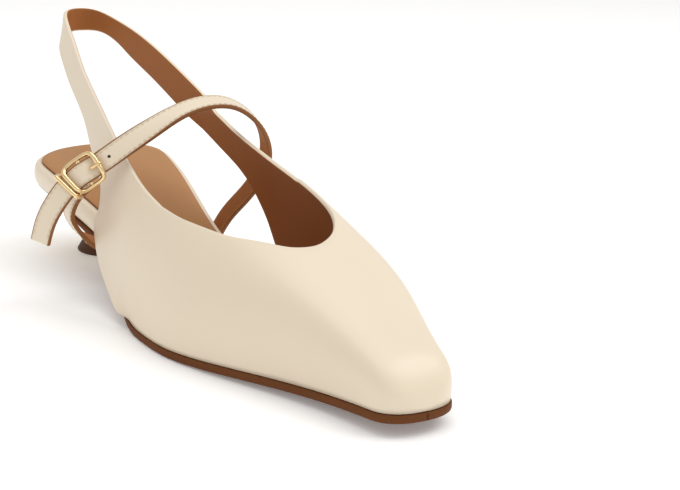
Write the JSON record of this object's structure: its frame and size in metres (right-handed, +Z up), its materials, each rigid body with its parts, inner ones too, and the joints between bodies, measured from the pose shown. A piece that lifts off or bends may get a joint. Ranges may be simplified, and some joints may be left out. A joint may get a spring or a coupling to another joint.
{
  "type": "slingback sandal",
  "caption": "Women's slingback with closed snipped toe, open back on an elastic sling, buckled instep strap and low spool heel.",
  "frame": {"origin": "on the floor, at the middle of the flat underside of the heel's top piece", "axes": "+X along the foot to the toe, +Y to the inner side of the right foot, +Z up"},
  "size_m": [0.2689, 0.1005, 0.1016],
  "materials": {
    "upper_leather": "smooth cream leather, soft gloss",
    "sock": "smooth tan leather, matt",
    "outsole": "brown leather sole, matt",
    "gold_metal": "polished pale gold plating",
    "gold_heel": "satin gold metallized moulded heel",
    "top_piece": "matt brown"
  },
  "bodies": {
    "root": {"outsole": "outsole", "footbed": "upper_leather", "sock_lining": "sock", "upper": "upper_leather", "instep_strap": "upper_leather", "buckle_strap": "upper_leather", "buckle_frame": "gold_metal", "buckle_keeper": "gold_metal", "buckle_prong": "gold_metal", "heel": "gold_heel", "heel_top_piece": "top_piece"}
  },
  "joints": []
}
